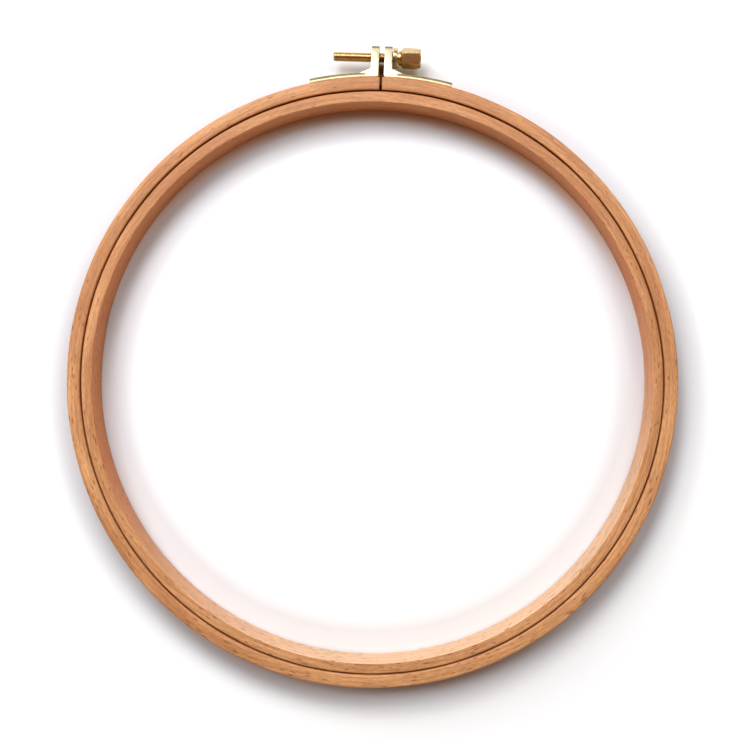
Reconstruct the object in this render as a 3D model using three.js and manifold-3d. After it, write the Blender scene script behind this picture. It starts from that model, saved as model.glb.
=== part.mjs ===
// A 25 cm wooden embroidery hoop, lying flat, in millimetres with +Z up.
// The inner ring is a closed hoop of beech. The outer ring is sawn through at +Y, where two brass brackets are
// nailed to it. A hexagon-headed screw draws the brackets' lugs together, which closes the outer ring on the cloth.
// The origin is the middle of the model's base. +Y points to the clamp and +X to the screw's knob.

import * as THREE from "three";
import { mergeVertices } from "three/addons/utils/BufferGeometryUtils.js";
import Module from "manifold-3d";

const wasm = await Module();
wasm.setup();

// Driving dimensions: the two rings
const OUTER_RING_RADIUS = 125; // outside of the outer ring
const OUTER_RING_WALL = 5.6;
const INNER_RING_WALL = 4.5;
const RING_CLEARANCE = 0.4; // radial room between the rings, where the cloth goes
const RING_DEPTH = 16;
const OUTSIDE_EASE = 1; // rounding of the outer ring's outside edges
const MATING_EASE = 0.8; // rounding of the edges where the rings face each other
const INSIDE_EASE = 0.5; // rounding of the inner ring's inside edges
const SAW_CUT = 1;

// Driving dimensions: the brackets
const ARM_THICKNESS = 1.4;
const ARM_WIDTH = 14;
const ARM_REACH = THREE.MathUtils.degToRad(13.3); // from the saw cut to the arm's tail
const TAIL_CHAMFER = 0.6;
const LUG_GAP = 2.2;
const LUG_THICKNESS = 3.2;
const LUG_CROWN_RADIUS = 4.6; // the lug's round end, about the screw
const LUG_SHOULDER = 2.4; // full width of the lug before it tapers, above the arm
const FOOT_FILLET = 2;
const BEND_RADIUS = 0.8; // rounded corner of the lug above the saw cut
const WEB_HEIGHT = 3.4;
const WEB_LENGTH = 10.5;
const WEB_THICKNESS = 1.8;
const EDGE_BREAK = 0.25;

// Driving dimensions: the screw and its washer
const SCREW_HEIGHT = 9.6; // screw axis above the wood
const SHANK_DIAMETER = 4;
const SHANK_OVERHANG = 15.9; // what stands out beyond the left lug
const TIP_CHAMFER = 0.6;
const BORE_CLEARANCE = 0.3;
const WASHER_DIAMETER = 8.3;
const WASHER_THICKNESS = 1.9;
const NECK_DIAMETER = 5.8;
const NECK_LENGTH = 0.8; // straight part of the neck
const CONE_LENGTH = 1.2; // from the neck to the knob's full width
const KNOB_LENGTH = 7.3;
const KNOB_ACROSS_FLATS = 7.3;
const KNOB_CHAMFER = 0.7;
const KNOB_TURN = THREE.MathUtils.degToRad(13); // how far the upper facet has turned towards -Y at rest
const SLOT_WIDTH = 1.1;
const SLOT_DEPTH = 1.6;

// Driving dimensions: the nails, which sit past the web's toe
const NAIL_ANGLES = [8.6, 11.9].map(THREE.MathUtils.degToRad);
const NAIL_DIAMETER = 1.5;
const NAIL_DEPTH = 4.2; // into the wood
const NAIL_HEAD_DIAMETER = 3.2;
const NAIL_HEAD_HEIGHT = 0.7;

const SEAT_GAP = 0.3; // left between pieces that touch

// Facets
const RING_STEPS = 120;
const EDGE_STEPS = 1; // doubled on each rounded edge by the curve classes
const ROUND_STEPS = 32;
const NAIL_STEPS = 16;

// Sizes that follow from these
const OUTER_RING_BORE = OUTER_RING_RADIUS - OUTER_RING_WALL;
const INNER_RING_RADIUS = OUTER_RING_BORE - RING_CLEARANCE;
const MID_DEPTH = RING_DEPTH / 2;
const ARM_SEAT = OUTER_RING_RADIUS + SEAT_GAP;
const ARM_BACK = ARM_SEAT + ARM_THICKNESS;
const SCREW_RADIUS = OUTER_RING_RADIUS + SCREW_HEIGHT; // screw axis from the hoop's centre
const LUG_TOP = SCREW_RADIUS + LUG_CROWN_RADIUS;
const LUG_FACE = LUG_GAP / 2;
const LUG_BACK = LUG_FACE + LUG_THICKNESS;
const BORE_RADIUS = SHANK_DIAMETER / 2 + BORE_CLEARANCE;
const WASHER_SEAT = LUG_BACK + SEAT_GAP;
const NECK_SEAT = WASHER_SEAT + WASHER_THICKNESS + SEAT_GAP;
const SHANK_TIP = -(LUG_BACK + SHANK_OVERHANG);
const HOOP_CENTRE_Y = (OUTER_RING_RADIUS - LUG_TOP) / 2; // brings the base's middle to the origin

const beech = new THREE.MeshStandardMaterial({ color: 0xd09468, roughness: 0.62, metalness: 0 });
const platedBrass = new THREE.MeshStandardMaterial({ color: 0xe9dcb0, roughness: 0.22, metalness: 1 });
const brass = new THREE.MeshStandardMaterial({ color: 0xc9a765, roughness: 0.3, metalness: 1 });

// A closed geometry as a solid that can be joined and cut.
function solid(geometry) {
  const bare = geometry.clone();
  bare.deleteAttribute("normal");
  bare.deleteAttribute("uv");
  const merged = mergeVertices(bare, 1e-4);
  return new wasm.Manifold(
    new wasm.Mesh({
      numProp: 3,
      vertProperties: new Float32Array(merged.attributes.position.array),
      triVerts: new Uint32Array(merged.index.array),
    }),
  );
}

// A named mesh from a solid.
function piece(name, body, material) {
  const mesh = body.getMesh();
  const geometry = new THREE.BufferGeometry();
  geometry.setAttribute("position", new THREE.BufferAttribute(mesh.vertProperties, mesh.numProp));
  geometry.setIndex(new THREE.BufferAttribute(mesh.triVerts, 1));
  geometry.computeVertexNormals();
  const made = new THREE.Mesh(geometry, material);
  made.name = name;
  return made;
}

// The point of the hoop's plane at a radius, and an angle from +Y towards +X.
function polar(radius, angle) {
  return new THREE.Vector2(radius * Math.sin(angle), radius * Math.cos(angle));
}

// A solid of revolution about +Z, from a closed outline of (radius, height).
function revolve(outline, steps) {
  const closed = [...outline, outline[0]];
  return solid(new THREE.LatheGeometry(closed, steps).rotateX(Math.PI / 2));
}

// A solid of revolution about +X, from (x, radius) points that start and end on the axis.
function turned(profile, steps) {
  const outline = profile.map(([x, radius]) => new THREE.Vector2(radius, x));
  return solid(new THREE.LatheGeometry(outline, steps).rotateZ(-Math.PI / 2));
}

// A cylinder along +X between two places.
function rod(radius, from, to) {
  return turned([[from, 0], [from, radius], [to, radius], [to, 0]], ROUND_STEPS);
}

// A rectangular ring section with rounded corners, as (radius, height) points.
function ringSection(inside, outside, insideEase, outsideEase) {
  const section = new THREE.Shape();
  const corner = (radius, height, ease, start) =>
    section.absarc(radius, height, ease, start, start + Math.PI / 2, false);
  corner(outside - outsideEase, outsideEase, outsideEase, -Math.PI / 2);
  corner(outside - outsideEase, RING_DEPTH - outsideEase, outsideEase, 0);
  corner(inside + insideEase, RING_DEPTH - insideEase, insideEase, Math.PI / 2);
  corner(inside + insideEase, insideEase, insideEase, Math.PI);
  return section.getPoints(EDGE_STEPS);
}

// The wooden rings

function innerRing() {
  const inside = INNER_RING_RADIUS - INNER_RING_WALL;
  const section = ringSection(inside, INNER_RING_RADIUS, INSIDE_EASE, MATING_EASE);
  return piece("inner_ring", revolve(section, RING_STEPS), beech);
}

function outerRing() {
  const section = ringSection(OUTER_RING_BORE, OUTER_RING_RADIUS, MATING_EASE, OUTSIDE_EASE);
  const saw = new THREE.BoxGeometry(SAW_CUT, 4 * OUTER_RING_WALL, 2 * RING_DEPTH);
  saw.translate(0, OUTER_RING_RADIUS, MID_DEPTH);
  let ring = revolve(section, RING_STEPS).subtract(solid(saw));
  for (const side of [-1, 1])
    for (const angle of NAIL_ANGLES) ring = ring.subtract(nailHole(side * angle));
  return piece("outer_ring", ring, beech);
}

// The brackets

// Outline of a right-hand bracket seen from above: an arm bent to the ring, and a lug that stands out from it.
function bracketOutline() {
  const bend = Math.asin((LUG_FACE + BEND_RADIUS) / (ARM_SEAT + BEND_RADIUS));
  const bendCentre = polar(ARM_SEAT + BEND_RADIUS, bend);
  const foot = Math.asin((LUG_BACK + FOOT_FILLET) / (ARM_BACK + FOOT_FILLET));
  const footCentre = polar(ARM_BACK + FOOT_FILLET, foot);
  const chamferTurn = TAIL_CHAMFER / ARM_BACK;
  const outline = new THREE.Shape();
  outline.moveTo(LUG_BACK, LUG_TOP);
  outline.lineTo(LUG_FACE, LUG_TOP);
  outline.absarc(bendCentre.x, bendCentre.y, BEND_RADIUS, Math.PI, 1.5 * Math.PI - bend, false);
  outline.absarc(0, 0, ARM_SEAT, Math.PI / 2 - bend, Math.PI / 2 - ARM_REACH, true);
  const tail = polar(ARM_BACK - TAIL_CHAMFER, ARM_REACH);
  outline.lineTo(tail.x, tail.y);
  outline.absarc(0, 0, ARM_BACK, Math.PI / 2 - ARM_REACH + chamferTurn, Math.PI / 2 - foot, false);
  outline.absarc(footCentre.x, footCentre.y, FOOT_FILLET, 1.5 * Math.PI - foot, Math.PI, true);
  return outline;
}

// Side view of the bracket, as (-z, y): full width along the arm, then tapering to a crown about the screw.
function earOutline() {
  const half = ARM_WIDTH / 2;
  const shoulder = ARM_BACK + LUG_SHOULDER;
  const rise = SCREW_RADIUS - shoulder;
  const toCentre = Math.hypot(half, rise);
  const lean = Math.acos(LUG_CROWN_RADIUS / toCentre) - Math.atan2(rise, half); // where the taper meets the crown
  const outline = new THREE.Shape();
  outline.moveTo(half, 0);
  outline.lineTo(half, shoulder);
  outline.absarc(0, SCREW_RADIUS, LUG_CROWN_RADIUS, lean, Math.PI - lean, false);
  outline.lineTo(-half, shoulder);
  outline.lineTo(-half, 0);
  return outline;
}

// The triangular web that stiffens the lug, at the middle of the bracket's width.
function web() {
  const slope = ARM_BACK - ARM_THICKNESS / 2;
  const toe = polar(slope, (LUG_BACK + WEB_LENGTH) / ARM_BACK);
  const root = LUG_BACK - LUG_THICKNESS / 2;
  const outline = new THREE.Shape();
  outline.moveTo(root, slope);
  outline.lineTo(toe.x, toe.y);
  outline.lineTo(LUG_BACK, ARM_BACK + WEB_HEIGHT);
  outline.lineTo(root, ARM_BACK + WEB_HEIGHT);
  const plate = new THREE.ExtrudeGeometry(outline, { depth: WEB_THICKNESS, bevelEnabled: false });
  return solid(plate.translate(0, 0, MID_DEPTH - WEB_THICKNESS / 2));
}

function bracketBody() {
  const plan = new THREE.ExtrudeGeometry(bracketOutline(), {
    depth: ARM_WIDTH - 2 * EDGE_BREAK,
    bevelThickness: EDGE_BREAK,
    bevelSize: EDGE_BREAK,
    bevelOffset: -EDGE_BREAK,
    bevelSegments: 1,
    curveSegments: 12,
  });
  plan.translate(0, 0, MID_DEPTH - ARM_WIDTH / 2 + EDGE_BREAK);
  const side = new THREE.ExtrudeGeometry(earOutline(), {
    depth: 2 * OUTER_RING_RADIUS,
    bevelEnabled: false,
    curveSegments: 20,
  });
  side.rotateY(Math.PI / 2).translate(0, 0, MID_DEPTH);
  let body = solid(plan).intersect(solid(side)).add(web());
  body = body.subtract(screwBore());
  for (const angle of NAIL_ANGLES) body = body.subtract(nailHole(angle));
  return body;
}

// The hole that the screw passes through, tapped in the left lug and plain in the right one.
function screwBore() {
  const bore = new THREE.CylinderGeometry(BORE_RADIUS, BORE_RADIUS, 4 * LUG_BACK, ROUND_STEPS);
  return solid(bore.rotateZ(Math.PI / 2).translate(0, SCREW_RADIUS, MID_DEPTH));
}

// A bracket on the side of +X or, turned to its mirror image, of -X.
function bracket(name, side) {
  const made = piece(name, bracketBody(), platedBrass);
  made.scale.x = side;
  return made;
}

// The nails

// Room for a nail in the arm and the wood, at an angle from the saw cut.
function nailHole(angle) {
  const radius = NAIL_DIAMETER / 2 + SEAT_GAP;
  const bottom = OUTER_RING_RADIUS - NAIL_DEPTH - SEAT_GAP;
  const top = ARM_BACK + NAIL_HEAD_HEIGHT;
  const hole = new THREE.CylinderGeometry(radius, radius, top - bottom, NAIL_STEPS);
  return solid(hole.translate(0, (top + bottom) / 2, 0).rotateZ(-angle).translate(0, 0, MID_DEPTH));
}

// A round nail with a domed head, driven towards the hoop's centre.
function nail(name, angle) {
  const point = OUTER_RING_RADIUS - NAIL_DEPTH;
  const head = ARM_BACK + SEAT_GAP;
  const profile = new THREE.Path();
  profile.moveTo(0, point);
  profile.lineTo(NAIL_DIAMETER / 2, point + NAIL_DIAMETER);
  profile.lineTo(NAIL_DIAMETER / 2, head);
  profile.lineTo(NAIL_HEAD_DIAMETER / 2, head);
  profile.absellipse(0, head, NAIL_HEAD_DIAMETER / 2, NAIL_HEAD_HEIGHT, 0, Math.PI / 2, false);
  const shape = new THREE.LatheGeometry(profile.getPoints(4), NAIL_STEPS);
  const made = piece(name, solid(shape), brass);
  made.position.z = MID_DEPTH;
  made.rotation.z = -angle;
  return made;
}

// The screw and its washer, drawn along +X from the saw cut

function knob() {
  const corner = KNOB_ACROSS_FLATS / 2 / Math.cos(Math.PI / 6);
  const start = NECK_SEAT + NECK_LENGTH;
  const end = start + CONE_LENGTH + KNOB_LENGTH;
  const hexagon = new THREE.Shape();
  for (let i = 0; i < 6; i++) {
    const turn = (i * Math.PI) / 3 + Math.PI / 2;
    if (i) hexagon.lineTo(corner * Math.cos(turn), corner * Math.sin(turn));
    else hexagon.moveTo(corner * Math.cos(turn), corner * Math.sin(turn));
  }
  const bar = new THREE.ExtrudeGeometry(hexagon, { depth: end - start, bevelEnabled: false });
  bar.rotateY(Math.PI / 2).translate(start, 0, 0);
  const turnedTo = turned(
    [
      [start, 0],
      [start, NECK_DIAMETER / 2],
      [start + CONE_LENGTH, corner],
      [end - KNOB_CHAMFER, corner],
      [end, corner - KNOB_CHAMFER],
      [end, 0],
    ],
    2 * ROUND_STEPS,
  );
  const slot = new THREE.BoxGeometry(2 * SLOT_DEPTH, 2 * KNOB_ACROSS_FLATS, SLOT_WIDTH);
  slot.rotateX(KNOB_TURN).translate(end, 0, 0);
  return solid(bar.rotateX(KNOB_TURN)).intersect(turnedTo).subtract(solid(slot));
}

function clampScrew() {
  const shank = turned(
    [
      [SHANK_TIP, 0],
      [SHANK_TIP, SHANK_DIAMETER / 2 - TIP_CHAMFER],
      [SHANK_TIP + TIP_CHAMFER, SHANK_DIAMETER / 2],
      [NECK_SEAT, SHANK_DIAMETER / 2],
      [NECK_SEAT, NECK_DIAMETER / 2],
      [NECK_SEAT + NECK_LENGTH + CONE_LENGTH / 2, NECK_DIAMETER / 2],
      [NECK_SEAT + NECK_LENGTH + CONE_LENGTH / 2, 0],
    ],
    ROUND_STEPS,
  );
  return piece("clamp_screw", shank.add(knob()), brass);
}

function clampWasher() {
  const disc = rod(WASHER_DIAMETER / 2, WASHER_SEAT, WASHER_SEAT + WASHER_THICKNESS);
  const bore = rod(BORE_RADIUS, WASHER_SEAT - WASHER_THICKNESS, WASHER_SEAT + 2 * WASHER_THICKNESS);
  return piece("clamp_washer", disc.subtract(bore), brass);
}

// The hoop put together

const screwLine = new THREE.Group();
screwLine.position.set(0, SCREW_RADIUS, MID_DEPTH);
screwLine.add(clampScrew(), clampWasher());

const hoop = new THREE.Group();
hoop.position.y = HOOP_CENTRE_Y;
hoop.add(innerRing(), outerRing());
hoop.add(bracket("left_bracket", -1), bracket("right_bracket", 1));
hoop.add(screwLine);
NAIL_ANGLES.forEach((angle, i) => {
  hoop.add(nail(`left_nail_${i + 1}`, -angle), nail(`right_nail_${i + 1}`, angle));
});

const root = new THREE.Group();
root.add(hoop);
export default root;
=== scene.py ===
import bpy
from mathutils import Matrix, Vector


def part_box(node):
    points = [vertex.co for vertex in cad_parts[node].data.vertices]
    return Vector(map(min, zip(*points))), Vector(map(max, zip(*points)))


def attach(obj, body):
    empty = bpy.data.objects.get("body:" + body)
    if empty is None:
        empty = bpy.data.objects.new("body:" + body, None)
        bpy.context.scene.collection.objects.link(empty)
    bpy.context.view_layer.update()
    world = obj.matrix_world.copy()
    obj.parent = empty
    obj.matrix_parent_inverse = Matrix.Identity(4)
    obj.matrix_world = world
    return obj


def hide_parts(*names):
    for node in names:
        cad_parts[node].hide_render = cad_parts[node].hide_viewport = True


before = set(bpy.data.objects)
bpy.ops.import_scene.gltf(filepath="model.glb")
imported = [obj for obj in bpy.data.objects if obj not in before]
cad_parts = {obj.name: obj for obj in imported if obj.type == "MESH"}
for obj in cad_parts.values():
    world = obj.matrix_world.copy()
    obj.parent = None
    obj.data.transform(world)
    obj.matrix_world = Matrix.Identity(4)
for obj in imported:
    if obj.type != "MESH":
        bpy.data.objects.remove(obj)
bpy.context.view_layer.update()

import math

import bmesh
import bpy
from mathutils import Matrix, Vector

# View and light
# The hoop lies flat on white paper. The camera looks almost straight down and is rolled by two degrees.
# Four soft lamps stand beyond the clamp, so the shadows fall towards the hoop's other end. The room is dark
# above, a little less so behind the clamp, and pale at the horizon, where it meets the paper.
MM = 0.001
inner_low, inner_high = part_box("inner_ring")
outer_low, outer_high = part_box("outer_ring")
hoop_centre = (inner_low + inner_high) / 2
hoop_centre.z = 0
hoop_depth = inner_high.z / MM
bench = Matrix.Translation(hoop_centre) @ Matrix.Scale(MM, 4)  # from millimetres about the hoop's axis
INNER_WALL = 4.5
INNER_OUTSIDE = (inner_high.x - inner_low.x) / 2 / MM
INNER_INSIDE = INNER_OUTSIDE - INNER_WALL
OUTER_OUTSIDE = (outer_high.x - outer_low.x) / 2 / MM

CAMERA_ROLL = math.radians(1.95)
CAMERA_PLACE = (11.6, 9.4, 464)  # along the picture's right and up, and above the paper
CAMERA_AIM = (1.84, 3.48, hoop_depth)
CAMERA_LENS = 52.75
# Each lamp: degrees from +Y towards +X, degrees up, metres from the hoop, metres across, and its share of the
# light on the paper
LAMPS = {
    "key lamp": (345, 52, 1.0, 0.35, 0.3),
    "left lamp": (310, 62, 1.6, 0.5, 0.22),
    "low lamp": (318, 36, 0.8, 0.3, 0.16),
    "right lamp": (35, 60, 0.8, 0.3, 0.21),
}
LAMPS_FOOT = 400.0  # how far beyond the hoop's axis the paper is lit most
PAPER_SIDE = 4.0  # in metres
PAPER_WHITE = (0.66, 0.66, 0.67, 1)
# What the camera and reflections see of the paper: a warm painted shade where it touches the wood on the
# sides in shadow, a grey painted shade beside the rings, painted light in the lit part inside the hoop, burnt
# out to white farther off, and still white where the lamps hardly reach
PAPER_WARM_PAINTED_SHADE = (0.66, 0.43, 0.29, 1)
PAPER_PAINTED_SHADE_NEAR = (0.72, 0.75, 0.81, 1)
PAPER_FAR = (1.12, 1.17, 1.21, 1)
PAPER_ROOM = (6.0, 6.0, 6.0, 1)
# A painted shadow on the paper between the lugs, brown, and redder in front of the saw cut. Each place says
# where the tint begins, is full, begins to fade and ends.
PAPER_LUG_SHADOW = (0.12, 0.05, 0.025, 1)
PAPER_CUT_SHADOW = (0.75, 0.33, 0.13, 1)
LUG_SHADOW_ACROSS = (-2.0, -1.5, 0.9, 1.4)
LUG_SHADOW_ALONG = (119.0, 120.0, 133.1, 135.4)
CUT_SHADOW_ALONG = (124.8, 126.2, 128.5, 130.5)
HORIZON = (1.0, 1.0, 1.0, 1)
SKY_BEHIND = (0.62, 0.6, 0.57, 1)
SKY_ABOVE = (0.36, 0.2, 0.11, 1)
SKY_DARK = (0.19, 0.155, 0.135, 1)


class Link:
    """A node's output that can stand in arithmetic: each operation adds a Math node to its tree."""

    def __init__(self, tree, socket):
        self.tree = tree
        self.socket = socket

    def out(self, name):
        return Link(self.tree, self.socket.node.outputs[name])

    def math(self, operation, *others):
        return self.tree.node("ShaderNodeMath", {"operation": operation}, dict(enumerate((self, *others))))

    def __add__(self, other):
        return self.math("ADD", other)

    def __sub__(self, other):
        return self.math("SUBTRACT", other)

    def __rsub__(self, other):
        return (self * -1) + other

    def __mul__(self, other):
        return self.math("MULTIPLY", other)

    def __truediv__(self, other):
        return self.math("DIVIDE", other)

    def __pow__(self, other):
        return self.math("POWER", other)

    __radd__ = __add__
    __rmul__ = __mul__

    def split(self):
        parts = self.tree.node("ShaderNodeSeparateXYZ", sockets={0: self})
        return [parts.out(axis) for axis in "XYZ"]

    def rise(self, low, high):
        """Goes smoothly from 0 at low to 1 at high, where low may be the larger."""
        sockets = {"Value": self, "From Min": low, "From Max": high}
        return self.tree.node("ShaderNodeMapRange", {"interpolation_type": "SMOOTHSTEP"}, sockets)

    def within(self, begin, full, fade, end):
        """1 between full and fade, and down smoothly to 0 at begin and end."""
        return self.rise(begin, full) * self.rise(end, fade)

    def times(self, factor):
        """A colour or vector scaled by a number."""
        return self.tree.node("ShaderNodeVectorMath", {"operation": "SCALE"}, {0: self, "Scale": factor})


class Tree:
    """A node tree that is being built."""

    def __init__(self, nodes):
        self.nodes = nodes

    def node(self, kind, settings=None, sockets=None, output=0):
        made = self.nodes.nodes.new(kind)
        for name, value in (settings or {}).items():
            setattr(made, name, value)
        for key, value in (sockets or {}).items():
            if isinstance(value, Link):
                self.nodes.links.new(value.socket, made.inputs[key])
            else:
                made.inputs[key].default_value = value
        return Link(self, made.outputs[output]) if made.outputs else made

    def vector(self, *parts):
        return self.node("ShaderNodeCombineXYZ", sockets=dict(enumerate(parts)))

    def mix(self, factor, first, second):
        """One colour blended into another."""
        sockets = {0: factor, 6: first, 7: second}
        return self.node("ShaderNodeMix", {"data_type": "RGBA"}, sockets, output=2)


def emptied(owner):
    owner.use_nodes = True
    owner.node_tree.nodes.clear()
    return Tree(owner.node_tree)


def seen(tree):
    """1 for what the camera or a reflection looks at, and 0 for the light that falls on a surface."""
    ray = tree.node("ShaderNodeLightPath")
    return ray.out("Is Camera Ray") + ray.out("Is Glossy Ray") + ray.out("Is Transmission Ray")


def about_axis(tree):
    """Where a surface lies, in millimetres from the hoop's axis and the paper: x, y, z and the radius."""
    place = tree.node("ShaderNodeTexCoord", output="Object")
    sockets = {"Vector": place, "Location": -hoop_centre / MM, "Scale": (1 / MM,) * 3}
    x, y, z = tree.node("ShaderNodeMapping", sockets=sockets).split()
    return x, y, z, (x * x + y * y) ** 0.5


def along_picture(right, up, height):
    """A place given along the picture's sides from the hoop's axis, in the frame."""
    return bench @ Matrix.Rotation(CAMERA_ROLL, 4, "Z") @ Vector((right, up, height))


scene = bpy.context.scene
scene.view_settings.view_transform = "Standard"

camera = bpy.data.objects.new("camera", bpy.data.cameras.new("camera"))
camera.data.lens = CAMERA_LENS
camera.data.clip_start = 0.01
scene.collection.objects.link(camera)
scene.camera = camera
back = (along_picture(*CAMERA_PLACE) - along_picture(*CAMERA_AIM)).normalized()
picture_right = (along_picture(0, 1, 0) - along_picture(0, 0, 0)).cross(back).normalized()
sides = Matrix((picture_right, back.cross(picture_right), back)).transposed()
camera.matrix_world = Matrix.Translation(along_picture(*CAMERA_PLACE)) @ sides.to_4x4()

for name, (bearing, rise, distance, across, share) in LAMPS.items():
    lamp = bpy.data.objects.new(name, bpy.data.lights.new(name, "AREA"))
    lamp.data.shape = "DISK"
    lamp.data.size = across
    lamp.data.energy = share * (math.pi * distance) ** 2 / math.sin(math.radians(rise))
    turned_to = Matrix.Rotation(math.radians(-bearing), 4, "Z")
    raised_to = Matrix.Rotation(math.radians(rise - 90), 4, "X") @ Matrix.Translation((0, 0, distance))
    lamp.matrix_world = Matrix.Translation(hoop_centre) @ turned_to @ raised_to
    scene.collection.objects.link(lamp)

scene.world = bpy.data.worlds.new("studio")
sky = emptied(scene.world)
_, behind, height = sky.node("ShaderNodeTexCoord", output="Generated").split()
behind_clamp = behind.rise(0.6, 0.85) * height.rise(0.65, 0.5)
over_camera = height.rise(0.86, 0.94) * behind.rise(0.1, -0.05)
shade = sky.mix(behind_clamp, SKY_DARK, SKY_BEHIND)
shade = sky.mix(over_camera, shade, SKY_ABOVE)
shade = sky.mix(height.rise(0.45, 0.2) * seen(sky), shade, HORIZON)
sky.node("ShaderNodeOutputWorld", sockets={0: sky.node("ShaderNodeBackground", sockets={"Color": shade})})

paper = bpy.data.objects.new("paper", bpy.data.meshes.new("paper"))
half = PAPER_SIDE / 2
corners = [(-half, -half, 0), (half, -half, 0), (half, half, 0), (-half, half, 0)]
paper.data.from_pydata(corners, [], [(0, 1, 2, 3)])
white = bpy.data.materials.new("white paper")
look = emptied(white)
x, y, _, radius = about_axis(look)
from_wall = (INNER_INSIDE - radius).math("MAXIMUM", radius - OUTER_OUTSIDE)
inside = radius.rise(INNER_INSIDE + 0.5, INNER_INSIDE + 0.1)
outside = radius.rise(OUTER_OUTSIDE - 0.4, OUTER_OUTSIDE)
# Painted shade: a warm tint on the paper within a few millimetres of the wood, only on the sides in shadow
painted_shade_inside = from_wall.rise(6.0, 0.0) * inside * y.rise(30.0, 100.0)
painted_shade_outside = from_wall.rise(9.0, 4.0) * outside * y.rise(-85.0, -120.0) * 0.45
shown = look.mix(painted_shade_inside.math("MAXIMUM", painted_shade_outside), PAPER_PAINTED_SHADE_NEAR, PAPER_WARM_PAINTED_SHADE)
# Painted shade and light: the paper beside the rings is painted grey, and lighter in the lit part inside the
# hoop
painted_light_inside = radius.rise(INNER_INSIDE + 0.1, INNER_INSIDE - 1.5) * y.rise(30.0, -80.0) * 0.22
shown = look.mix(from_wall.rise(3.0, 22.0).math("MAXIMUM", painted_light_inside), shown, PAPER_FAR)
to_lamps = y - LAMPS_FOOT
from_lamps = (x * x + to_lamps * to_lamps) ** 0.5
far_off = from_lamps.rise(520.0, 1200.0).math("MAXIMUM", radius.rise(300.0, 600.0))
shown = look.mix(far_off, shown, PAPER_ROOM)
# Painted shadow on the paper between the lugs and in front of the saw cut
painted_lug_shadow = x.within(*LUG_SHADOW_ACROSS) * y.within(*LUG_SHADOW_ALONG)
shown = look.mix(painted_lug_shadow, shown, look.mix(y.within(*CUT_SHADOW_ALONG), PAPER_LUG_SHADOW, PAPER_CUT_SHADOW))
matt = look.node("ShaderNodeBsdfDiffuse", sockets={"Color": look.mix(seen(look), PAPER_WHITE, shown)})
look.node("ShaderNodeOutputMaterial", sockets={0: matt})
paper.data.materials.append(white)
scene.collection.objects.link(paper)

# Inner ring
# A closed hoop of steam-bent beech, 4.5 mm thick and 16 mm deep, sanded and left bare. Its outside edges,
# which the cloth passes over, are rounded more than its inside ones.
RING_CLEARANCE = 0.4  # the room for the cloth
GAP_RADIUS = INNER_OUTSIDE + RING_CLEARANCE / 2
INSIDE_EASE = 0.5
MATING_EASE = 0.8
RING_STEPS = 480
EDGE_STEPS = 5
WAVINESS = 0.12  # how far the sanded faces run in
WAVES_PER_MM = 0.06
INNER_PALE = (0.68, 0.335, 0.14, 1)
INNER_DEEP = (0.5, 0.21, 0.075, 1)
# Painted light and shade on the inner face: lighter and less saturated on the side towards the lamps, deeper
# on the side in shade
INNER_FACE_PAINTED_LIT = (0.88, 0.56, 0.34, 1)
INNER_FACE_PAINTED_SHADE = (0.65, 0.215, 0.05, 1)
PAINTED_LIT_SIDE = math.radians(160)  # where the inner face is palest, from +Y towards +X
LATEWOOD = (0.36, 0.11, 0.035, 1)
FLECK = (0.24, 0.05, 0.012, 1)
# The saw cut's darker end grain, and painted shade in the gap between the rings
END_GRAIN_AND_GAP_SHADE = (0.25, 0.045, 0.008, 1)
GRAIN_RADIUS = 120.0  # where a length along the grain is true
GRAIN_DEPTH = 0.03
YEAR_RING = 1.7
YEAR_RING_BEND = 17.0  # how far the year rings wander across the strip
YEAR_RING_RIPPLE = 0.9
LATEWOOD_SHARPNESS = 4


def shape_tree(name, labels):
    """A Geometry Nodes tree that takes these sizes and a material, and what gives an input by its label."""
    group = bpy.data.node_groups.new(name, "GeometryNodeTree")
    for label in labels:
        group.interface.new_socket(label, in_out="INPUT", socket_type="NodeSocketFloat")
    group.interface.new_socket("material", in_out="INPUT", socket_type="NodeSocketMaterial")
    group.interface.new_socket("shape", in_out="OUTPUT", socket_type="NodeSocketGeometry")
    tree = Tree(group)
    return tree, tree.node("NodeGroupInput").out


def delivered(tree, shape, material):
    """The finished tree, which puts out its shape as one mesh in the material."""
    real = tree.node("GeometryNodeRealizeInstances", sockets={0: shape})
    dressed = tree.node("GeometryNodeSetMaterial", sockets={"Geometry": real, "Material": material})
    tree.node("NodeGroupOutput", sockets={0: dressed})
    return tree.nodes


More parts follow.
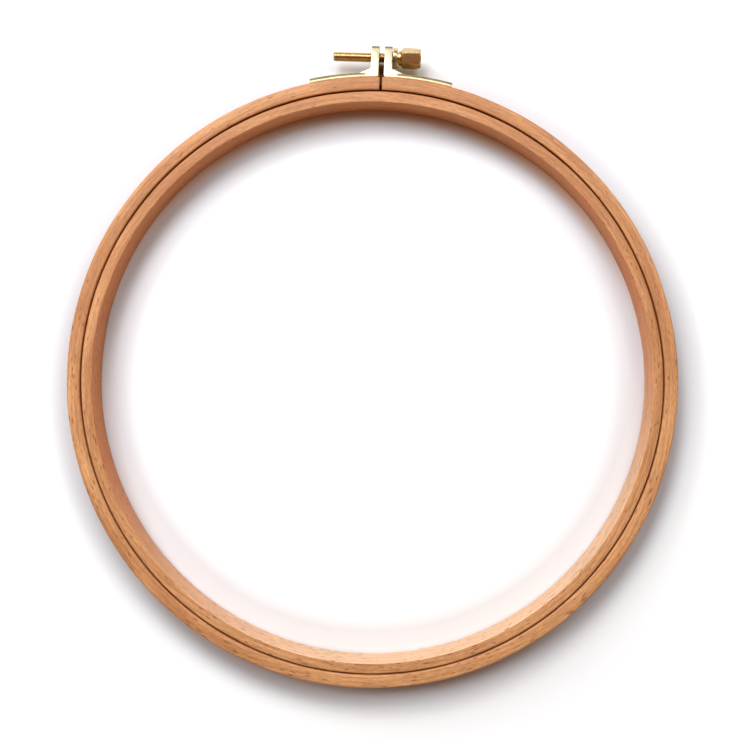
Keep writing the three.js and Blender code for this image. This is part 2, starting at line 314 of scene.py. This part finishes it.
def ring_tree(name, closed):
    """Sweeps a strip's rounded section round the hoop's axis, from z = 0 up, closed or sawn through at +Y."""
    labels = ("inside", "outside", "depth", "inside ease", "outside ease", "saw cut", "waviness")
    tree, size = shape_tree(name, labels)
    middle = (size("inside") + size("outside")) / 2
    sockets = {"Width": size("outside") - size("inside"), "Height": size("depth")}
    section = tree.node("GeometryNodeCurvePrimitiveQuadrilateral", sockets=sockets)
    at_outside = tree.node("GeometryNodeInputPosition").split()[0].math("GREATER_THAN", 0)
    ease = size("inside ease") + (size("outside ease") - size("inside ease")) * at_outside
    sockets = {"Curve": section, "Count": EDGE_STEPS, "Radius": ease}
    rounded = tree.node("GeometryNodeFilletCurve", {"mode": "POLY"}, sockets)
    sockets = {"Resolution": RING_STEPS, "Radius": middle}
    if closed:
        path = tree.node("GeometryNodeCurvePrimitiveCircle", sockets=sockets)
    else:
        cut = size("saw cut") / middle
        sockets["Start Angle"] = math.pi / 2 + cut / 2
        sockets["Sweep Angle"] = 2 * math.pi - cut
        path = tree.node("GeometryNodeCurveArc", {"mode": "RADIUS"}, sockets)
    sockets = {"Curve": path, "Profile Curve": rounded, "Fill Caps": not closed}
    strip = tree.node("GeometryNodeCurveToMesh", sockets=sockets)
    waves = tree.node("ShaderNodeTexNoise", sockets={"Scale": WAVES_PER_MM, "Detail": 2.0})
    inwards = waves.rise(0.25, 0.75) * size("waviness") * -1
    offset = tree.node("GeometryNodeInputNormal").times(inwards)
    worn = tree.node("GeometryNodeSetPosition", sockets={"Geometry": strip, "Offset": offset})
    lift = tree.vector(0.0, 0.0, size("depth") / 2)
    raised = tree.node("GeometryNodeTransform", sockets={"Geometry": worn, "Translation": lift})
    return delivered(tree, raised, size("material"))


def grown(name, group, sizes):
    """A plain mesh object that a Geometry Nodes tree makes from these sizes, in millimetres."""
    maker = bpy.data.objects.new(name, bpy.data.meshes.new(name))
    scene.collection.objects.link(maker)
    modifier = maker.modifiers.new("shape", "NODES")
    modifier.node_group = group
    for item in group.interface.items_tree:
        if item.in_out == "INPUT":
            modifier[item.identifier] = sizes[item.name]
    return settled(maker)


def settled(piece):
    """The piece with its modifiers made part of its mesh."""
    mesh = bpy.data.meshes.new_from_object(piece.evaluated_get(bpy.context.evaluated_depsgraph_get()))
    piece.modifiers.clear()
    piece.data = mesh
    return piece


def placed(piece, sharp_angle=35):
    """The piece brought from millimetres about the hoop's axis into the frame, and shaded smooth."""
    piece.data.transform(bench)
    piece.data.shade_smooth()
    piece.data.set_sharp_from_angle(angle=math.radians(sharp_angle))
    return piece


def surfaced(material, tree, colour, rough, height, depth, metallic=0.0):
    """The material with one surface and its relief: a height from 0 to 1, times a depth in millimetres."""
    relief = {"Strength": 1.0, "Distance": depth * MM, "Height": height}
    bump = tree.node("ShaderNodeBump", sockets=relief)
    sockets = {"Base Color": colour, "Metallic": metallic, "Roughness": rough, "Normal": bump}
    surface = tree.node("ShaderNodeBsdfPrincipled", sockets=sockets)
    tree.node("ShaderNodeOutputMaterial", sockets={0: surface})
    return material


def beech(name, pale, deep, tilt, seed, saw_cut=0.0, inside=None):
    """Bare beech with its grain round the hoop, and year rings that lean by tilt in the strip's section."""
    material = bpy.data.materials.new(name)
    wood = emptied(material)
    x, y, z, radius = about_axis(wood)
    east, north = x / radius, y / radius

    def stretched(kind, along, across, shift, sockets):
        """A texture whose cells are along x across millimetres in size, and which closes round the hoop."""
        turn = GRAIN_RADIUS / along
        vector = wood.vector(east * turn, north * turn, radius / across + seed)
        sockets = {"Vector": vector, "W": z / across + shift, "Scale": 1.0, **sockets}
        return wood.node(f"ShaderNodeTex{kind}", {f"{kind.lower()}_dimensions": "4D"}, sockets)

    def streaks(along, across, shift, detail=2.0):
        return stretched("Noise", along, across, shift, {"Detail": detail}) - 0.5

    def spots(along, across, shift):
        return stretched("Voronoi", along, across, shift, {})

    tone = streaks(46.0, 6.0, 0.0, 3.0) + north * 0.06
    drift = streaks(85.0, 60.0, 3.0, 1.0) * YEAR_RING_BEND + streaks(14.0, 2.6, 6.0) * YEAR_RING_RIPPLE
    layer = (radius * math.cos(tilt) + z * math.sin(tilt) + drift) / YEAR_RING
    latewood = layer.math("FRACT") ** LATEWOOD_SHARPNESS
    patchy = streaks(24.0, 3.0, 9.0).rise(-0.14, 0.1)
    fibre = streaks(15.0, 0.55, 12.0, 3.0) + streaks(2.6, 0.4, 33.0, 1.0)
    dash = (spots(3.6, 0.6, 21.0) - streaks(30.0, 4.0, 27.0) * 0.3).rise(0.3, 0.14)
    plenty = streaks(50.0, 9.0, 18.0) * 0.4 - north * 0.06
    fleck = (spots(4.6, 1.1, 15.0) - plenty).rise(0.3, 0.16)

    colour = wood.mix(tone.rise(-0.15, 0.17), pale, deep)
    if inside:
        # Painted light and shade on the inner face, by which way it faces
        face = (radius - inside).rise(0.42, 0.14)
        toward_lit_side = north * math.cos(PAINTED_LIT_SIDE) + east * math.sin(PAINTED_LIT_SIDE) + tone * 0.5
        painted_face_light = wood.mix(toward_lit_side.rise(-0.1, 0.95), INNER_FACE_PAINTED_SHADE, INNER_FACE_PAINTED_LIT)
        colour = wood.mix(face, colour, painted_face_light)
        latewood = latewood * (1 - face * 0.7)
    colour = wood.mix(latewood * (0.14 + 0.5 * patchy), colour, LATEWOOD)
    colour = wood.mix(dash * 0.3, colour, LATEWOOD)
    colour = wood.mix(fleck * 0.62, colour, FLECK)
    colour = colour.times(1 + fibre * 0.8)
    # Painted shade in the gap between the rings, darkest towards +Y, where the rings' own shadow lies
    gap_shade = (radius - GAP_RADIUS).math("ABSOLUTE").rise(0.5, 0.24)
    colour = wood.mix(gap_shade * (0.45 + north.rise(0.2, 1.0) * 0.5), colour, END_GRAIN_AND_GAP_SHADE)
    if saw_cut:
        sawn = x.math("ABSOLUTE").rise(saw_cut * 0.75, saw_cut * 0.55) * y.math("GREATER_THAN", 0)
        colour = wood.mix(sawn * 0.5, colour, END_GRAIN_AND_GAP_SHADE)
    rough = 0.55 + fibre * 0.25 + fleck * 0.15
    height = fibre * 0.7 - fleck * 0.5 - latewood * 0.15
    return surfaced(material, wood, colour, rough, height, GRAIN_DEPTH)


inner_ring = grown(
    "bent_inner_ring",
    ring_tree("closed_ring", closed=True),
    {
        "inside": INNER_INSIDE,
        "outside": INNER_OUTSIDE,
        "depth": hoop_depth,
        "inside ease": INSIDE_EASE,
        "outside ease": MATING_EASE,
        "saw cut": 0.0,
        "waviness": WAVINESS,
        "material": beech(
            "beech, inner ring", INNER_PALE, INNER_DEEP, math.radians(28), seed=0.0, inside=INNER_INSIDE
        ),
    },
)
placed(inner_ring)
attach(inner_ring, "inner_hoop")
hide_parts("inner_ring")

# Outer ring
# A second beech hoop, 5.6 mm thick, sawn through at the clamp. The saw leaves darker end grain, and the edges
# of the cut are taken off with a touch of sandpaper.
OUTER_INSIDE = INNER_OUTSIDE + RING_CLEARANCE
OUTSIDE_EASE = 1.0
SAW_CUT = 1.0
SAW_EDGE = 0.2
OUTER_PALE = (0.69, 0.34, 0.14, 1)
OUTER_DEEP = (0.5, 0.21, 0.075, 1)

outer_ring = grown(
    "bent_outer_ring",
    ring_tree("sawn_ring", closed=False),
    {
        "inside": OUTER_INSIDE,
        "outside": OUTER_OUTSIDE,
        "depth": hoop_depth,
        "inside ease": MATING_EASE,
        "outside ease": OUTSIDE_EASE,
        "saw cut": SAW_CUT,
        "waviness": WAVINESS,
        "material": beech(
            "beech, outer ring", OUTER_PALE, OUTER_DEEP, math.radians(-20), seed=40.0, saw_cut=SAW_CUT
        ),
    },
)
sanded = outer_ring.modifiers.new("sanded", "BEVEL")
sanded.width = SAW_EDGE
sanded.segments = 2
sanded.limit_method = "ANGLE"
sanded.angle_limit = math.radians(60)
placed(settled(outer_ring))
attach(outer_ring, "outer_hoop")
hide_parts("outer_ring")

# Brackets
# Two straps of pale plated brass, nailed to the outer ring on either side of the cut. Each is bent out into a
# lug, which tapers to a crown about the screw, and a web pressed out of the bend keeps it square.
STRAP_THICKNESS = 1.65
ARM_SEAT = OUTER_OUTSIDE + 0.05
ARM_BACK = ARM_SEAT + STRAP_THICKNESS
ARM_WIDTH = 14.0
ARM_REACH = math.radians(13.3)
LUG_GAP = 2.2
LUG_THICKNESS = 3.2
LUG_FACE = LUG_GAP / 2
LUG_BACK = LUG_FACE + LUG_THICKNESS
LUG_CROWN_RADIUS = 4.6
LUG_SHOULDER = 2.4
FOOT_FILLET = 2.0
BEND_RADIUS = 0.8
WEB_HEIGHT = 3.4
WEB_LENGTH = 10.5
WEB_THICKNESS = 1.8
WEB_SINK = 0.4  # how deep the web's foot runs into the arm
BRACKET_EDGE = 0.28
SCREW_RADIUS = 134.6  # the screw's axis from the hoop's
SCREW_BORE = 4.5
MID_DEPTH = hoop_depth / 2
OVERCUT = 1.0  # how far a cutter starts outside the piece
TOOL_REACH = 60.0  # a cutter's length, longer than a bracket
ARC_STEP = math.radians(3)
RING_ARC_STEP = ARC_STEP / 6
PLATED = (0.73, 0.66, 0.44, 1)
PLATED_DULL = (0.6, 0.5, 0.29, 1)
# darker along the arms' back edges, and painted shade on the crowns
PLATED_DARK = (0.13, 0.1, 0.05, 1)
PLATED_BACK = (0.53, 0.34, 0.135, 1)
PLATED_GRAIN = 0.012


def polar(radius, angle):
    """The point at a radius, and an angle from +Y towards +X."""
    return (radius * math.sin(angle), radius * math.cos(angle))


def arc(centre, radius, start, end):
    """Points of an arc about a centre, with angles from +X."""
    step = RING_ARC_STEP if radius >= ARM_SEAT else ARC_STEP
    steps = max(2, round(abs(end - start) / step))
    angles = [start + (end - start) * i / steps for i in range(steps + 1)]
    return [(centre[0] + radius * math.cos(a), centre[1] + radius * math.sin(a)) for a in angles]


def prism(name, outline, near, far, turn=Matrix.Identity(4)):
    """A closed prism on an outline of (x, y) points, between two heights, turned into place."""
    shape = bmesh.new()
    ends = [[shape.verts.new((x, y, level)) for x, y in outline] for level in (near, far)]
    for end in ends:
        shape.faces.new(end)
    for i in range(len(outline)):
        shape.faces.new((ends[0][i - 1], ends[0][i], ends[1][i], ends[1][i - 1]))
    bmesh.ops.recalc_face_normals(shape, faces=shape.faces)
    shape.transform(turn)
    return linked(name, shape)


def linked(name, shape):
    """The bmesh as an object in the scene."""
    mesh = bpy.data.meshes.new(name)
    shape.to_mesh(mesh)
    shape.free()
    piece = bpy.data.objects.new(name, mesh)
    scene.collection.objects.link(piece)
    return piece


def worked(piece, operation, tool):
    """The piece joined with, cut by or kept within a tool, which is used up."""
    modifier = piece.modifiers.new("work", "BOOLEAN")
    modifier.operation = operation
    modifier.object = tool
    settled(piece)
    bpy.data.objects.remove(tool)
    return piece


def edged(piece, width, angle=32):
    """The piece with its sharp edges rounded."""
    merged = bmesh.new()
    merged.from_mesh(piece.data)
    bmesh.ops.remove_doubles(merged, verts=merged.verts, dist=1e-4)
    bmesh.ops.dissolve_limit(merged, angle_limit=math.radians(0.2), verts=merged.verts, edges=merged.edges)
    merged.to_mesh(piece.data)
    merged.free()
    bevel = piece.modifiers.new("edges", "BEVEL")
    bevel.width = width
    bevel.segments = 3
    bevel.limit_method = "ANGLE"
    bevel.angle_limit = math.radians(angle)
    return settled(piece)


def clad(piece, material):
    """The piece in one material all over."""
    piece.data.materials.clear()
    piece.data.materials.append(material)
    return piece


def strap_outline():
    """The bracket from above, on the side of +X: the arm along the ring, the bend, the lug and its foot."""
    bend = math.asin((LUG_FACE + BEND_RADIUS) / (ARM_SEAT + BEND_RADIUS))
    foot = math.asin((LUG_BACK + FOOT_FILLET) / (ARM_BACK + FOOT_FILLET))
    top = SCREW_RADIUS + LUG_CROWN_RADIUS + OVERCUT
    quarter = math.pi / 2
    points = [(LUG_BACK, top), (LUG_FACE, top)]
    points += arc(polar(ARM_SEAT + BEND_RADIUS, bend), BEND_RADIUS, math.pi, 3 * quarter - bend)
    points += arc((0, 0), ARM_SEAT, quarter - bend, quarter - ARM_REACH)[1:]
    points += arc((0, 0), ARM_BACK, quarter - ARM_REACH, quarter - foot)
    points += arc(polar(ARM_BACK + FOOT_FILLET, foot), FOOT_FILLET, 3 * quarter - foot, math.pi)[1:]
    return points


def ear_outline():
    """The bracket from the side, as (z, y): full width along the arm, then a taper to the crown."""
    half_width = ARM_WIDTH / 2
    shoulder = ARM_BACK + LUG_SHOULDER
    rise = SCREW_RADIUS - shoulder
    lean = math.acos(LUG_CROWN_RADIUS / math.hypot(half_width, rise)) - math.atan2(rise, half_width)
    points = [(-half_width, 0), (half_width, 0), (half_width, shoulder)]
    points += arc((0, SCREW_RADIUS), LUG_CROWN_RADIUS, lean, math.pi - lean)
    return points + [(-half_width, shoulder)]


def web_outline():
    """The web from above, a triangle between the arm's back and the lug's, sunk a little into both."""
    bottom = ARM_BACK - WEB_SINK
    top = ARM_BACK + WEB_HEIGHT
    toe = polar(bottom, (LUG_BACK + WEB_LENGTH) / ARM_BACK)
    root = LUG_BACK - OVERCUT
    return [(root, bottom), toe, (LUG_BACK, top), (root, top)]


def bracket(name, side):
    """A bracket on the side of +X or, as its mirror image, of -X."""
    half_width = ARM_WIDTH / 2
    strap = prism(name, strap_outline(), MID_DEPTH - half_width, MID_DEPTH + half_width)
    sideways = Matrix.Translation((0, 0, MID_DEPTH)) @ Matrix.Rotation(math.pi / 2, 4, "Y")
    worked(strap, "INTERSECT", prism("ear", ear_outline(), 0, TOOL_REACH, sideways))
    half_web = WEB_THICKNESS / 2
    worked(strap, "UNION", prism("web", web_outline(), MID_DEPTH - half_web, MID_DEPTH + half_web))
    hole = arc((0, SCREW_RADIUS), SCREW_BORE / 2, 0, 2 * math.pi)[1:]
    worked(strap, "DIFFERENCE", prism("drill", hole, 0, TOOL_REACH, sideways))
    edged(strap, BRACKET_EDGE)
    if side < 0:
        strap.data.transform(Matrix.Scale(-1, 4, (1, 0, 0)))
        strap.data.flip_normals()
    return strap


def plated_brass():
    """Pale plating with a fine tumbled grain: dull in patches, darker along the arms' back edges, painted
    shade on the crowns, golden on the sides.
    """
    material = bpy.data.materials.new("plated brass")
    metal = emptied(material)
    place = metal.node("ShaderNodeTexCoord", output="Object")
    cloud = metal.node("ShaderNodeTexNoise", sockets={"Vector": place, "Scale": 260.0, "Detail": 4.0})
    grain = metal.node("ShaderNodeTexNoise", sockets={"Vector": place, "Scale": 3800.0, "Detail": 2.0})
    x, y, z, radius = about_axis(metal)
    half_width = ARM_WIDTH / 2
    rim = (z - MID_DEPTH).math("ABSOLUTE").rise(half_width - 0.6, half_width - 0.3)
    arm = x.math("ABSOLUTE").rise(LUG_BACK + 1.0, LUG_BACK + 3.0)
    back = radius.rise(ARM_BACK - 1.1, ARM_BACK - 0.7)
    crown_top = SCREW_RADIUS + LUG_CROWN_RADIUS
    crown = y.rise(crown_top - 2.2, crown_top - 1.2)
    broad_face = place.out("Normal").split()[2].math("ABSOLUTE").rise(0.5, 0.15)
    colour = metal.mix(cloud.rise(0.5, 0.78) * 0.7, PLATED, PLATED_DULL)
    colour = metal.mix(broad_face * 0.9, colour, PLATED_BACK)
    colour = metal.mix(rim * arm * 0.4, colour, PLATED_DULL)
    # Darker along the arms' back edges, and painted shade on the crowns, where their rounded tops turn away
    dark_edge_and_crown_shade = (rim * arm * back).math("MAXIMUM", crown) * 0.8
    colour = metal.mix(dark_edge_and_crown_shade, colour, PLATED_DARK)
    rough = 0.43 + (cloud - 0.5) * 0.3 + (grain - 0.5) * 0.15 + dark_edge_and_crown_shade * 0.3
    return surfaced(material, metal, colour, rough, grain, PLATED_GRAIN, metallic=1.0)


plating = plated_brass()
for name, side in (("left", -1), ("right", 1)):
    strap = clad(placed(bracket(f"{name}_clamp_bracket", side)), plating)
    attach(strap, "outer_hoop")
    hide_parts(f"{name}_bracket")

# Washer
# A thick disc of turned brass between the right lug and the screw's neck. It hangs loose on the screw, and
# presses on the lug when the screw is tightened.
SEAT_GAP = 0.3
WASHER_BORE = 4.3
WASHER_DIAMETER = 8.3
WASHER_THICKNESS = 1.9
WASHER_EASE = 0.25
WASHER_SEAT = LUG_BACK + SEAT_GAP
TURNED = (0.56, 0.4, 0.205, 1)
TURNED_DARK = (0.34, 0.18, 0.05, 1)
TOOL_MARKS_PER_MM = 7.0
TOOL_MARK = 0.006
screw_line = Matrix.Translation((0, SCREW_RADIUS, MID_DEPTH)) @ Matrix.Rotation(math.pi / 2, 4, "Y")


def turned_brass():
    """Brass from the lathe: fine rings about the screw's axis, and a little tarnish."""
    material = bpy.data.materials.new("turned brass")
    metal = emptied(material)
    place = metal.node("ShaderNodeTexCoord", output="Object")
    sockets = {"W": place.split()[0] / MM, "Scale": TOOL_MARKS_PER_MM, "Detail": 3.0}
    tool = metal.node("ShaderNodeTexNoise", {"noise_dimensions": "1D"}, sockets)
    cloud = metal.node("ShaderNodeTexNoise", sockets={"Vector": place, "Scale": 420.0, "Detail": 3.0})
    colour = metal.mix(cloud.rise(0.48, 0.8) * 0.6, TURNED, TURNED_DARK)
    rough = 0.2 + (cloud - 0.5) * 0.2 + (tool - 0.5) * 0.1
    return surfaced(material, metal, colour, rough, tool, TOOL_MARK, metallic=1.0)


turned_look = turned_brass()
washer = grown(
    "turned_washer",
    bpy.data.node_groups["closed_ring"],
    {
        "inside": WASHER_BORE / 2,
        "outside": WASHER_DIAMETER / 2,
        "depth": WASHER_THICKNESS,
        "inside ease": WASHER_EASE / 2,
        "outside ease": WASHER_EASE,
        "saw cut": 0.0,
        "waviness": 0.0,
        "material": turned_look,
    },
)
washer.data.transform(screw_line @ Matrix.Translation((0, 0, WASHER_SEAT)))
placed(washer)
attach(washer, "washer")
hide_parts("clamp_washer")

# Screw
# Turned from one hexagonal brass bar: an M4 thread, a short neck that seats on the washer, a cone, and the
# knob, whose end is chamfered and slotted for a screwdriver.
SHANK_DIAMETER = 4.0
SHANK_OVERHANG = 15.9  # past the left lug
SHANK_TIP = -(LUG_BACK + SHANK_OVERHANG)
TIP_CHAMFER = 0.6
PITCH = 0.7
THREAD_DEPTH = 0.3
THREAD_END = 5.6  # where the thread runs out towards the neck
THREAD_RUNOUT = 1.0
THREAD_FLANKS = 0.72  # the groove's share of the pitch
THREAD_STEPS = 12  # in a pitch
ROD_STEPS = 48
NECK_SEAT = WASHER_SEAT + WASHER_THICKNESS + SEAT_GAP
NECK_DIAMETER = 5.8
NECK_LENGTH = 0.8
CONE_LENGTH = 1.2
KNOB_LENGTH = 7.3
KNOB_ACROSS_FLATS = 7.3
KNOB_CHAMFER = 0.7
KNOB_EDGE = 0.18
KNOB_TURN = math.radians(13)  # how far the upper facet has turned towards -Y
SLOT_WIDTH = 1.1
SLOT_DEPTH = 1.6


def thread_tree():
    """A rod from z = 0 up with a screw thread cut in it, a chamfered tip at z = 0 and a plain end."""
    labels = ("radius", "length", "threaded length", "pitch", "thread depth", "tip chamfer")
    tree, size = shape_tree("threaded_rod", labels)
    steps = size("length") / size("pitch") * THREAD_STEPS
    sockets = {"Vertices": ROD_STEPS, "Side Segments": steps}
    sockets.update({"Radius": size("radius"), "Depth": size("length")})
    rod = tree.node("GeometryNodeMeshCylinder", sockets=sockets)
    x, y, z = tree.node("GeometryNodeInputPosition").split()
    z = z + size("length") / 2
    turn = y.math("ARCTAN2", x) / (2 * math.pi)
    from_groove = ((z / size("pitch") - turn).math("FRACT") - 0.5).math("ABSOLUTE") * 2
    runout = (size("threaded length") - z).rise(0.0, THREAD_RUNOUT)
    groove = size("thread depth") * from_groove.rise(THREAD_FLANKS, 0.0) * runout
    tip = size("radius") - (size("tip chamfer") - z).math("MAXIMUM", 0.0)
    wanted = (size("radius") - groove).math("MINIMUM", tip)
    shrink = wanted / size("radius")
    sockets = {"Geometry": rod, "Position": tree.vector(x * shrink, y * shrink, z)}
    cut = tree.node("GeometryNodeSetPosition", sockets=sockets)
    return delivered(tree, cut, size("material"))


def turned(name, profile, steps=96):
    """A solid of revolution on the screw's axis. Each point is (its place along the axis, its radius)."""
    shape = bmesh.new()
    rings = []
    for place, radius in profile:
        count = steps if radius else 1
        angles = [2 * math.pi * i / steps for i in range(count)]
        rings.append([shape.verts.new((radius * math.cos(a), radius * math.sin(a), place)) for a in angles])
    for lower, upper in zip(rings, rings[1:]):
        for i in range(steps):
            below = [lower[i % len(lower)], lower[(i + 1) % len(lower)]]
            above = [upper[(i + 1) % len(upper)], upper[i % len(upper)]]
            shape.faces.new(dict.fromkeys(below + above))
    bmesh.ops.recalc_face_normals(shape, faces=shape.faces)
    return linked(name, shape)


def screw_head():
    """The neck, the cone and the hexagonal knob, along +Z."""
    corner = KNOB_ACROSS_FLATS / 2 / math.cos(math.pi / 6)
    start = NECK_SEAT + NECK_LENGTH
    end = start + CONE_LENGTH + KNOB_LENGTH
    neck = NECK_DIAMETER / 2
    profile = [
        (NECK_SEAT, 0),
        (NECK_SEAT, neck),
        (start, neck),
        (start + CONE_LENGTH, corner),
        (end - KNOB_CHAMFER, corner),
        (end, corner - KNOB_CHAMFER),
        (end, 0),
    ]
    head = turned("threaded_clamp_screw", profile)
    angles = [math.pi / 6 + i * math.pi / 3 for i in range(6)]
    hexagon = [(corner * math.cos(a), corner * math.sin(a)) for a in angles]
    worked(head, "INTERSECT", prism("bar", hexagon, NECK_SEAT - OVERCUT, end + OVERCUT))
    half_slot = SLOT_WIDTH / 2
    reach = KNOB_ACROSS_FLATS
    slot = [(-half_slot, -reach), (half_slot, -reach), (half_slot, reach), (-half_slot, reach)]
    worked(head, "DIFFERENCE", prism("saw", slot, end - SLOT_DEPTH, end + OVERCUT))
    edged(head, KNOB_EDGE)
    head.data.transform(Matrix.Rotation(KNOB_TURN, 4, "Z"))
    return head


shank = grown(
    "shank",
    thread_tree(),
    {
        "radius": SHANK_DIAMETER / 2,
        "length": NECK_SEAT + NECK_LENGTH / 2 - SHANK_TIP,
        "threaded length": THREAD_END - SHANK_TIP,
        "pitch": PITCH,
        "thread depth": THREAD_DEPTH,
        "tip chamfer": TIP_CHAMFER,
        "material": turned_look,
    },
)
shank.data.transform(Matrix.Translation((0, 0, SHANK_TIP)))
screw = clad(screw_head(), turned_look)
whole = bmesh.new()
whole.from_mesh(screw.data)
whole.from_mesh(shank.data)
whole.to_mesh(screw.data)
whole.free()
bpy.data.objects.remove(shank)
screw.data.transform(screw_line)
placed(screw)
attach(screw, "screw")
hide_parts("clamp_screw")

# Nails
# Four short brass nails with domed heads hold the straps to the wood, two in each arm. They are driven in
# past the toe of the web, towards the hoop's middle.
NAIL_FIRST = math.radians(8.6)
NAIL_STEP = math.radians(3.3)
NAIL_COUNT = 4
NAIL_DIAMETER = 1.5
NAIL_DEPTH = 4.2
NAIL_HEAD_DIAMETER = 3.2
NAIL_HEAD_HEIGHT = 0.7
NAIL_ROUND_STEPS = 32
NAIL_LENGTH_STEPS = 90
NAIL_TINT = (0.8, 0.62, 0.32, 1)
NAIL_MARK = 0.02


def nail_tree():
    """Nails driven towards the hoop's axis, in pairs on either side of the saw cut."""
    labels = ("seat radius", "mid depth", "first angle", "angle step")
    labels += ("diameter", "depth", "head diameter", "head height")
    tree, size = shape_tree("driven_nails", labels)

    point_end = tree.vector(0.0, 0.0, size("depth") * -1)
    head_end = tree.vector(0.0, 0.0, size("head height"))
    stem = tree.node("GeometryNodeCurvePrimitiveLine", sockets={"Start": point_end, "End": head_end})
    stations = tree.node("GeometryNodeResampleCurve", sockets={"Curve": stem, "Count": NAIL_LENGTH_STEPS})
    z = tree.node("GeometryNodeInputPosition").split()[2]
    over = (z / size("head height")).math("MAXIMUM", 0.0)
    dome = size("head diameter") / 2 * (1 - over * over).math("MAXIMUM", 0.0004) ** 0.5
    point = ((z + size("depth")) / size("diameter")).math("MINIMUM", 1.0).math("MAXIMUM", 0.03)
    wire = size("diameter") / 2 * point
    head = z.math("GREATER_THAN", -0.01)
    radius = wire + (dome - wire) * head
    shaped = tree.node("GeometryNodeSetCurveRadius", sockets={"Curve": stations, "Radius": radius})
    sockets = {"Resolution": NAIL_ROUND_STEPS, "Radius": 1.0}
    circle = tree.node("GeometryNodeCurvePrimitiveCircle", sockets=sockets)
    scale = tree.node("GeometryNodeInputRadius")
    sockets = {"Curve": shaped, "Profile Curve": circle, "Scale": scale, "Fill Caps": True}
    nail = tree.node("GeometryNodeCurveToMesh", sockets=sockets)

    index = tree.node("GeometryNodeInputIndex")
    side = index.math("MODULO", 2.0) * 2 - 1
    angle = size("first angle") + (index / 2).math("FLOOR") * size("angle step")
    east = angle.math("SINE") * side
    north = angle.math("COSINE")
    place = tree.vector(east * size("seat radius"), north * size("seat radius"), size("mid depth"))
    points = tree.node("GeometryNodePoints", sockets={"Count": NAIL_COUNT, "Position": place})
    sockets = {"Vector": tree.vector(east, north, 0.0)}
    outward = tree.node("FunctionNodeAlignRotationToVector", {"axis": "Z"}, sockets)
    sockets = {"Points": points, "Instance": nail, "Rotation": outward}
    driven = tree.node("GeometryNodeInstanceOnPoints", sockets=sockets)
    return delivered(tree, driven, size("material"))


def nail_brass():
    """Drawn brass wire with a pressed head, slightly tarnished."""
    material = bpy.data.materials.new("nail brass")
    metal = emptied(material)
    place = metal.node("ShaderNodeTexCoord", output="Object")
    cloud = metal.node("ShaderNodeTexNoise", sockets={"Vector": place, "Scale": 900.0, "Detail": 3.0})
    colour = metal.mix(cloud.rise(0.45, 0.75) * 0.6, NAIL_TINT, TURNED_DARK)
    rough = 0.3 + (cloud - 0.5) * 0.3
    return surfaced(material, metal, colour, rough, cloud, NAIL_MARK, metallic=1.0)


nails = grown(
    "bracket_nails",
    nail_tree(),
    {
        "seat radius": ARM_BACK,
        "mid depth": MID_DEPTH,
        "first angle": NAIL_FIRST,
        "angle step": NAIL_STEP,
        "diameter": NAIL_DIAMETER,
        "depth": NAIL_DEPTH + ARM_BACK - OUTER_OUTSIDE,
        "head diameter": NAIL_HEAD_DIAMETER,
        "head height": NAIL_HEAD_HEIGHT,
        "material": nail_brass(),
    },
)
placed(nails)
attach(nails, "outer_hoop")
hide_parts("left_nail_1", "left_nail_2", "right_nail_1", "right_nail_2")
